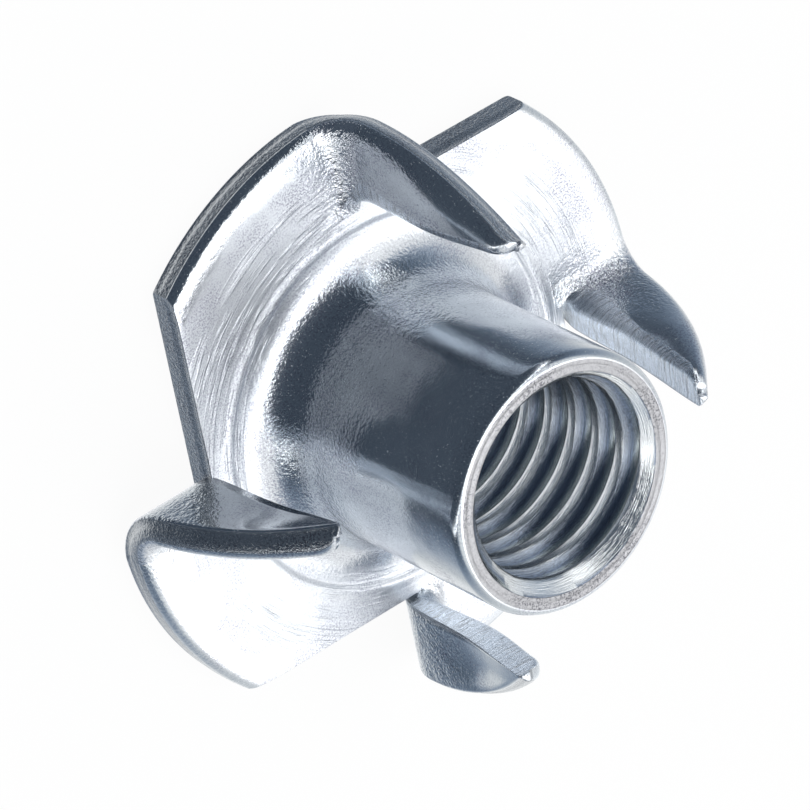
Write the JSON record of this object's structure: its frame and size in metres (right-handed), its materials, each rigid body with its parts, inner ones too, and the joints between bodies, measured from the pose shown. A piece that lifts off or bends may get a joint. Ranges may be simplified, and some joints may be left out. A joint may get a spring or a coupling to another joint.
{
  "type": "tee nut",
  "caption": "Pronged tee nut: a round stamped flange with a threaded barrel drawn from its middle and sheared prongs folded up beside it.",
  "frame": {"origin": "on the barrel's axis, in the plane of the flange's back face, which is the face it rests on", "axes": "+Z along the barrel's axis from the flange to the barrel's mouth; +X along the fold line of one prong"},
  "size_m": [0.0224, 0.0224, 0.0105],
  "materials": {
    "zinc_plate": "polished"
  },
  "bodies": {
    "root": {"tee_nut": "zinc_plate"}
  },
  "joints": []
}
